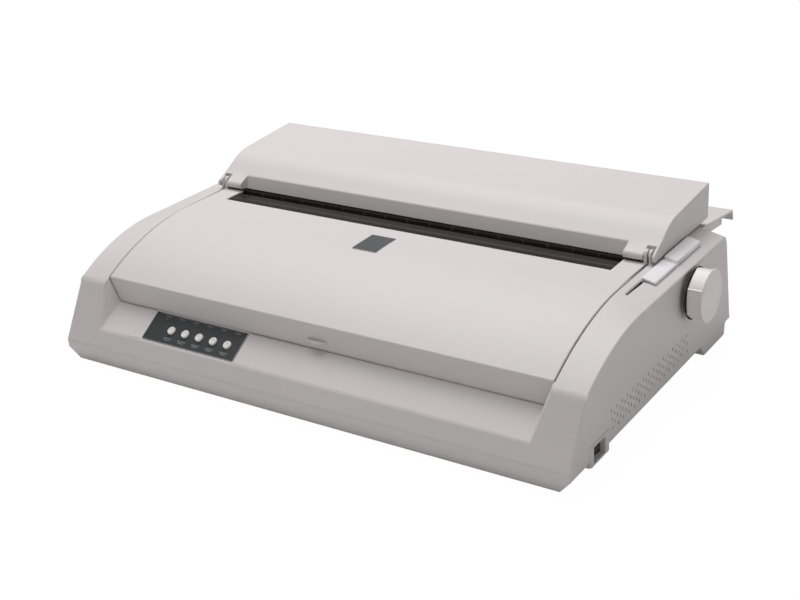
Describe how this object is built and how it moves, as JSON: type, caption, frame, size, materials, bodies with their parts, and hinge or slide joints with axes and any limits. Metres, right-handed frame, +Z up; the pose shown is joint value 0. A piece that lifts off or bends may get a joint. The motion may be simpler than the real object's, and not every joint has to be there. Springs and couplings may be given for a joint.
{
  "type": "dot matrix printer",
  "caption": "Wide-carriage impact printer: low two-part case, hinged front and rear covers, platen with side knob, tractors, print carriage, ribbon cartridge, sloped button panel.",
  "frame": {"origin": "on the table, under the middle of the whole printer with its knob and rear paper guide", "axes": "+X to the right along the platen towards the knob, +Y to the rear where the paper comes in, +Z up"},
  "size_m": [0.561, 0.411, 0.147],
  "materials": {
    "case_plastic": "fine moulded texture, pale warm grey",
    "cover_plastic": "fine moulded texture, pale warm grey",
    "guide_plastic": "fine moulded texture, pale warm grey",
    "smoked_window": "clear, dark brown tint",
    "badge": "bare dark plate",
    "steel": "ground",
    "screw_steel": "plated",
    "panel_film": "satin film",
    "led": "clear, tinted",
    "circuit_board": "satin",
    "foot_rubber": "matte",
    "zinc_plate": "zinc plated",
    "bearing_plastic": "satin",
    "platen_rubber": "ground, matte",
    "knob_plastic": "moulded",
    "gear_plastic": "satin",
    "motor_black": "satin",
    "pinion_brass": "machined",
    "tractor_plastic": "moulded",
    "lock_plastic": "moulded",
    "scale_metal": "satin",
    "lever_plastic": "moulded",
    "carriage_plastic": "moulded",
    "head_metal": "black coated",
    "belt_rubber": "matte",
    "cartridge_plastic": "moulded",
    "ribbon_fabric": "inked nylon",
    "black_plastic": "moulded",
    "switch_plastic": "polished",
    "button_plastic": "moulded"
  },
  "bodies": {
    "case": {"lower_case": "case_plastic", "upper_case": "case_plastic", "hinge_pins": "steel", "rear_paper_guide": "guide_plastic", "operator_panel": "panel_film", "led_windows": "led", "panel_board": "circuit_board", "rubber_feet": "foot_rubber", "case_screws": "screw_steel", "base_frame": "zinc_plate", "side_frames": "zinc_plate", "front_crossbar": "zinc_plate", "platen_bushings": "bearing_plastic", "feed_motor": "motor_black", "tractor_rail": "steel", "paper_pan": "zinc_plate", "scale_bar": "scale_metal", "carriage_rod": "steel", "carriage_rail": "zinc_plate", "carriage_motor": "motor_black", "drive_belt": "belt_rubber", "ribbon_cartridge": "cartridge_plastic", "ribbon_band": "ribbon_fabric", "main_board": "circuit_board", "power_supply": "zinc_plate", "power_inlet": "black_plastic", "interface_socket": "black_plastic"},
    "front_lid": {"front_cover": "cover_plastic", "smoked_window": "smoked_window", "badge_plate": "badge"},
    "rear_lid": {"rear_cover": "cover_plastic"},
    "platen": {"platen_roller": "platen_rubber", "platen_shaft": "steel", "platen_knob": "knob_plastic", "platen_gear": "gear_plastic"},
    "pinion": {"feed_pinion": "pinion_brass"},
    "lower_idler": {"lower_idler_gear": "gear_plastic"},
    "upper_idler": {"upper_idler_gear": "gear_plastic"},
    "tractor_shaft": {"tractor_drive_shaft": "steel"},
    "press_shaft": {"pressure_rollers": "platen_rubber"},
    "left_tractor": {"tractor_left": "tractor_plastic"},
    "right_tractor": {"tractor_right": "tractor_plastic"},
    "left_door": {"tractor_door_left": "tractor_plastic"},
    "right_door": {"tractor_door_right": "tractor_plastic"},
    "left_sprocket": {"sprocket_left": "gear_plastic"},
    "right_sprocket": {"sprocket_right": "gear_plastic"},
    "left_lock": {"lock_lever_left": "lock_plastic"},
    "right_lock": {"lock_lever_right": "lock_plastic"},
    "paper_release": {"paper_lever": "lever_plastic"},
    "print_carriage": {"carriage": "carriage_plastic", "print_head": "head_metal"},
    "drive_wheel": {"drive_pulley": "pinion_brass"},
    "idler_wheel": {"idler_pulley": "gear_plastic"},
    "ribbon_winder": {"ribbon_knob": "gear_plastic"},
    "rocker": {"power_switch": "switch_plastic"},
    "key_1": {"button_1": "button_plastic"},
    "key_2": {"button_2": "button_plastic"},
    "key_3": {"button_3": "button_plastic"},
    "key_4": {"button_4": "button_plastic"},
    "key_5": {"button_5": "button_plastic"}
  },
  "joints": [
    {"name": "front_lid_turn", "type": "hinge", "parent": "case", "child": "front_lid", "pos_m": [-0.0105, 0.0145, 0.118], "axis": [-1, 0, 0], "range_deg": [0, 70]},
    {"name": "rear_lid_turn", "type": "hinge", "parent": "case", "child": "rear_lid", "pos_m": [-0.0105, 0.0145, 0.118], "axis": [1, 0, 0], "range_deg": [0, 70]},
    {"name": "platen_turn", "type": "hinge", "parent": "case", "child": "platen", "pos_m": [-0.0105, 0.0295, 0.083], "axis": [1, 0, 0], "continuous": true},
    {"name": "lower_idler_turn", "type": "hinge", "parent": "case", "child": "lower_idler", "pos_m": [-0.2455, 0.04584, 0.05784], "axis": [1, 0, 0], "continuous": true},
    {"name": "pinion_turn", "type": "hinge", "parent": "case", "child": "pinion", "pos_m": [-0.2455, 0.05564, 0.04274], "axis": [1, 0, 0], "continuous": true},
    {"name": "upper_idler_turn", "type": "hinge", "parent": "case", "child": "upper_idler", "pos_m": [-0.2455, 0.06101, 0.08856], "axis": [1, 0, 0], "continuous": true},
    {"name": "tractor_shaft_turn", "type": "hinge", "parent": "case", "child": "tractor_shaft", "pos_m": [-0.0105, 0.09253, 0.09411], "axis": [1, 0, 0], "continuous": true},
    {"name": "press_shaft_turn", "type": "hinge", "parent": "case", "child": "press_shaft", "pos_m": [-0.0105, 0.03372, 0.05907], "axis": [1, 0, 0], "continuous": true},
    {"name": "left_tractor_slide", "type": "slide", "parent": "case", "child": "left_tractor", "axis": [1, 0, 0], "range_m": [-0.03, 0.06]},
    {"name": "right_tractor_slide", "type": "slide", "parent": "case", "child": "right_tractor", "axis": [1, 0, 0], "range_m": [-0.06, 0.03]},
    {"name": "left_sprocket_turn", "type": "hinge", "parent": "left_tractor", "child": "left_sprocket", "pos_m": [-0.1605, 0.09253, 0.09411], "axis": [1, 0, 0], "continuous": true},
    {"name": "right_sprocket_turn", "type": "hinge", "parent": "right_tractor", "child": "right_sprocket", "pos_m": [0.1395, 0.09253, 0.09411], "axis": [1, 0, 0], "continuous": true},
    {"name": "left_door_turn", "type": "hinge", "parent": "left_tractor", "child": "left_door", "pos_m": [-0.175, 0.09253, 0.11151], "axis": [0, -1, 0], "range_deg": [0, 60]},
    {"name": "right_door_turn", "type": "hinge", "parent": "right_tractor", "child": "right_door", "pos_m": [0.154, 0.09253, 0.11151], "axis": [0, 1, 0], "range_deg": [0, 60]},
    {"name": "left_lock_turn", "type": "hinge", "parent": "left_tractor", "child": "left_lock", "pos_m": [-0.1795, 0.07053, 0.09211], "axis": [1, 0, 0], "range_deg": [0, 40]},
    {"name": "right_lock_turn", "type": "hinge", "parent": "right_tractor", "child": "right_lock", "pos_m": [0.1585, 0.07053, 0.09211], "axis": [1, 0, 0], "range_deg": [0, 40]},
    {"name": "paper_release_slide", "type": "slide", "parent": "case", "child": "paper_release", "axis": [0, -1, 0], "range_m": [0, 0.03]},
    {"name": "carriage_slide", "type": "slide", "parent": "case", "child": "print_carriage", "axis": [1, 0, 0], "range_m": [-0.172, 0.172]},
    {"name": "drive_wheel_turn", "type": "hinge", "parent": "case", "child": "drive_wheel", "pos_m": [0.1955, -0.0425, 0.053], "axis": [0, 0, 1], "range_deg": [-1410, 1410]},
    {"name": "idler_wheel_turn", "type": "hinge", "parent": "case", "child": "idler_wheel", "pos_m": [-0.2165, -0.0425, 0.053], "axis": [0, 0, 1], "range_deg": [-1410, 1410]},
    {"name": "ribbon_winder_turn", "type": "hinge", "parent": "case", "child": "ribbon_winder", "pos_m": [-0.1805, -0.1015, 0.087], "axis": [0, 0, 1], "continuous": true},
    {"name": "rocker_turn", "type": "hinge", "parent": "case", "child": "rocker", "pos_m": [0.2515, -0.1531, 0.0176], "axis": [0, 0, 1], "range_deg": [0, 16]},
    {"name": "key_1_press", "type": "slide", "parent": "case", "child": "key_1", "axis": [0, 0.5336, -0.8457], "range_m": [0, 0.0015], "stiffness_N_per_m": 150, "springref_m": -0.001},
    {"name": "key_2_press", "type": "slide", "parent": "case", "child": "key_2", "axis": [0, 0.5336, -0.8457], "range_m": [0, 0.0015], "stiffness_N_per_m": 150, "springref_m": -0.001},
    {"name": "key_3_press", "type": "slide", "parent": "case", "child": "key_3", "axis": [0, 0.5336, -0.8457], "range_m": [0, 0.0015], "stiffness_N_per_m": 150, "springref_m": -0.001},
    {"name": "key_4_press", "type": "slide", "parent": "case", "child": "key_4", "axis": [0, 0.5336, -0.8457], "range_m": [0, 0.0015], "stiffness_N_per_m": 150, "springref_m": -0.001},
    {"name": "key_5_press", "type": "slide", "parent": "case", "child": "key_5", "axis": [0, 0.5336, -0.8457], "range_m": [0, 0.0015], "stiffness_N_per_m": 150, "springref_m": -0.001}
  ],
  "couplings": [
    {"joint": "lower_idler_turn", "follows": "platen_turn", "ratio": -1.5},
    {"joint": "pinion_turn", "follows": "platen_turn", "ratio": 3},
    {"joint": "upper_idler_turn", "follows": "platen_turn", "ratio": -1.2857},
    {"joint": "tractor_shaft_turn", "follows": "platen_turn", "ratio": 1},
    {"joint": "left_sprocket_turn", "follows": "platen_turn", "ratio": 1},
    {"joint": "right_sprocket_turn", "follows": "platen_turn", "ratio": 1},
    {"joint": "press_shaft_turn", "follows": "platen_turn", "ratio": -3},
    {"joint": "drive_wheel_turn", "follows": "carriage_slide", "rad_per_m": -142.86},
    {"joint": "idler_wheel_turn", "follows": "carriage_slide", "rad_per_m": -142.86}
  ]
}
